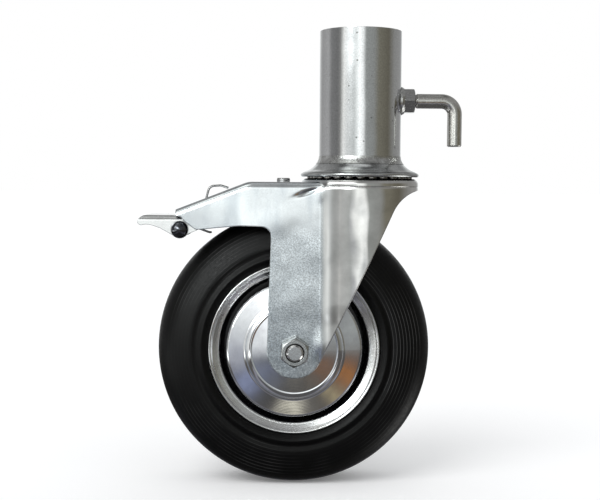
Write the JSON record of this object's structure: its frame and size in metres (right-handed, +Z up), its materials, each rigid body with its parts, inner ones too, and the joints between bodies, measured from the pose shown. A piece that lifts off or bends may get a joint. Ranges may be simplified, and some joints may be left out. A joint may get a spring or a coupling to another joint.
{
  "type": "scaffold castor",
  "caption": "Swivel castor for scaffolding: rubber wheel in a pressed steel fork with foot brake, under a socket tube with a cranked locking screw.",
  "frame": {"origin": "centre of the socket's seat, at the lower end of the tube's bore, on the swivel axis", "axes": "+Z up along the bore, out of its mouth; +X towards the locking screw; the wheel trails to -X"},
  "size_m": [0.2374, 0.0892, 0.3323],
  "materials": {
    "zinc_tube": "zinc plated steel, slightly bluish, bright",
    "zinc_bell": "zinc plated pressed steel, mottled",
    "weld": "weld bead, zinc plated, dull grey",
    "zinc_fork": "zinc plated pressed steel with a fine speckle",
    "zinc_disc": "bright zinc plated pressing, mirror like",
    "rim_steel": "zinc plated rim, black inside the well",
    "screw_steel": "zinc plated rod, satin grey",
    "fastener_steel": "zinc plated fastener",
    "dark_steel": "dark hardened steel",
    "spring_steel": "spring steel",
    "ball_steel": "polished bearing steel",
    "rubber": "black moulded rubber, satin",
    "cage_plastic": "moulded natural nylon"
  },
  "bodies": {
    "socket": {"socket_tube": "zinc_tube", "swivel_bell": "zinc_bell", "base_weld": "weld", "weld_nut": "fastener_steel", "nut_weld": "weld", "kingpin": "fastener_steel", "lower_race": "zinc_bell", "swivel_lock_ring": "dark_steel"},
    "ball_rows": {"upper_balls": "ball_steel", "lower_balls": "ball_steel"},
    "screw": {"locking_screw": "screw_steel"},
    "fork": {"fork": "zinc_fork", "brake_rivet": "dark_steel", "wire_spring": "spring_steel", "axle_bolt": "fastener_steel", "axle_nut": "fastener_steel", "axle_sleeve": "fastener_steel", "thread_guard_near": "zinc_disc", "thread_guard_far": "zinc_disc"},
    "wheel": {"tyre": "rubber", "rim_half_near": "rim_steel", "rim_half_far": "rim_steel", "rim_rivets": "fastener_steel", "hub_tube": "rim_steel"},
    "roller_set": {"roller_cage": "cage_plastic", "hub_rollers": "ball_steel"},
    "brake_lever": {"brake_lever": "spring_steel", "brake_shoe": "dark_steel"},
    "pedal": {"pedal": "zinc_fork", "pedal_pin": "dark_steel"}
  },
  "joints": [
    {"name": "swivel", "type": "hinge", "parent": "socket", "child": "fork", "pos_m": [0, 0, -0.014], "axis": [0, 0, 1], "continuous": true},
    {"name": "ball_orbit", "type": "hinge", "parent": "socket", "child": "ball_rows", "pos_m": [0, 0, -0.014], "axis": [0, 0, 1], "continuous": true},
    {"name": "wheel_spin", "type": "hinge", "parent": "fork", "child": "wheel", "pos_m": [-0.0482, 0, -0.139], "axis": [0, 1, 0], "continuous": true},
    {"name": "roller_orbit", "type": "hinge", "parent": "fork", "child": "roller_set", "pos_m": [-0.0482, 0, -0.139], "axis": [0, 1, 0], "continuous": true},
    {"name": "lever_rock", "type": "hinge", "parent": "fork", "child": "brake_lever", "pos_m": [-0.0565, 0, -0.0206], "axis": [0, -1, 0], "range_deg": [0, 3.2], "stiffness_Nm_per_rad": 4, "springref_deg": -8.59},
    {"name": "pedal_press", "type": "hinge", "parent": "brake_lever", "child": "pedal", "pos_m": [-0.1313, 0, -0.0522], "axis": [0, -1, 0], "range_deg": [0, 28]},
    {"name": "screw_turn", "type": "hinge", "parent": "socket", "child": "screw", "pos_m": [0.04, 0, 0.0429], "axis": [1, 0, 0], "range_deg": [-960, 1080]}
  ],
  "couplings": [
    {"joint": "ball_orbit", "follows": "swivel", "ratio": 0.5},
    {"joint": "roller_orbit", "follows": "wheel_spin", "ratio": 0.576},
    {"joint": "lever_rock", "follows": "pedal_press", "ratio": 0.11429}
  ]
}
